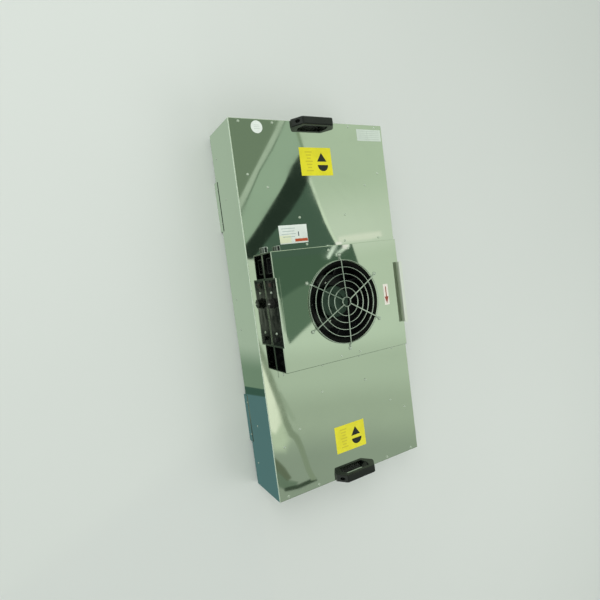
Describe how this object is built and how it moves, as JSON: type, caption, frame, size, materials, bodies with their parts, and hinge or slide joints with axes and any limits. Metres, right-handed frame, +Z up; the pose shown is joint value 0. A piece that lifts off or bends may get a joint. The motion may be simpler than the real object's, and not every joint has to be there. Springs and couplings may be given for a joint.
{
  "type": "fan filter unit",
  "caption": "Ceiling fan filter unit: polished steel casing with a guarded top air inlet, a radial fan inside, lifting handles and a filter held in its underside.",
  "frame": {"origin": "centre of the underside, on the plane that the four filter retainers' feet stand on", "axes": "+Z up towards the air inlet, X along the long side, -Y towards the control side"},
  "size_m": [1.181, 0.5804, 0.265],
  "materials": {
    "polished_steel": "mirror-polished stainless sheet",
    "bright_steel": "bright stainless fasteners",
    "galvanised_steel": "galvanised sheet",
    "guard_wire": "chromed wire",
    "black_steel": "satin black",
    "cast_aluminium": "cast and turned",
    "frame_aluminium": "satin anodised",
    "filter_paper": "matt pleated filter paper",
    "white_net": "white coated wire net",
    "gasket_foam": "closed-cell foam",
    "handle_plastic": "fine grained black",
    "knob_grey": "satin grey",
    "rocker_red": "gloss dark red",
    "black_plastic": "semi-gloss black",
    "capacitor_white": "gloss white",
    "connector_nylon": "translucent white nylon",
    "yellow_film": "printed yellow film",
    "white_film": "printed white film"
  },
  "bodies": {
    "housing": {"bracket_screws": "bright_steel", "casing": "polished_steel", "casing_screws": "bright_steel", "control_connector_inner": "connector_nylon", "control_connector_outer": "connector_nylon", "control_plate": "black_steel", "control_tray": "black_steel", "cover_screws": "bright_steel", "fan_cover": "polished_steel", "filter_frame": "frame_aluminium", "filter_gasket": "gasket_foam", "filter_media": "filter_paper", "filter_net": "white_net", "filter_retainer_back_left": "polished_steel", "filter_retainer_back_right": "polished_steel", "filter_retainer_front_left": "polished_steel", "filter_retainer_front_right": "polished_steel", "filter_seat": "galvanised_steel", "finger_guard": "guard_wire", "flow_label": "white_film", "fuse_holder": "black_plastic", "guard_screws": "bright_steel", "handle_left": "handle_plastic", "handle_right": "handle_plastic", "handle_screws": "bright_steel", "inlet_ring": "black_steel", "motor_plate": "galvanised_steel", "motor_screws": "bright_steel", "motor_stator": "cast_aluminium", "power_inlet": "black_plastic", "rail_screws": "bright_steel", "rating_label": "white_film", "retainer_rivets": "bright_steel", "rocker_bezel": "black_plastic", "round_label": "white_film", "run_capacitor": "capacitor_white", "side_bracket_back": "polished_steel", "side_bracket_front": "polished_steel", "speed_controller": "black_plastic", "support_rail_back": "galvanised_steel", "support_rail_front": "galvanised_steel", "type_plate": "white_film", "wall_rivets": "bright_steel", "yellow_label_left": "yellow_film", "yellow_label_right": "yellow_film"},
    "fan": {"impeller": "galvanised_steel", "impeller_screws": "bright_steel", "motor_rotor": "cast_aluminium"},
    "knob": {"speed_knob": "knob_grey"},
    "rocker": {"power_rocker": "rocker_red"}
  },
  "joints": [
    {"name": "impeller_spin", "type": "hinge", "parent": "housing", "child": "fan", "pos_m": [0, 0, 0.14], "axis": [0, 0, 1], "continuous": true},
    {"name": "speed_knob_turn", "type": "hinge", "parent": "housing", "child": "knob", "pos_m": [-0.03, -0.2405, 0.225], "axis": [0, -1, 0], "range_deg": [-270, 0]},
    {"name": "power_rocker_tilt", "type": "hinge", "parent": "housing", "child": "rocker", "pos_m": [-0.085, -0.2385, 0.225], "axis": [1, 0, 0], "range_deg": [-16, 0]}
  ]
}
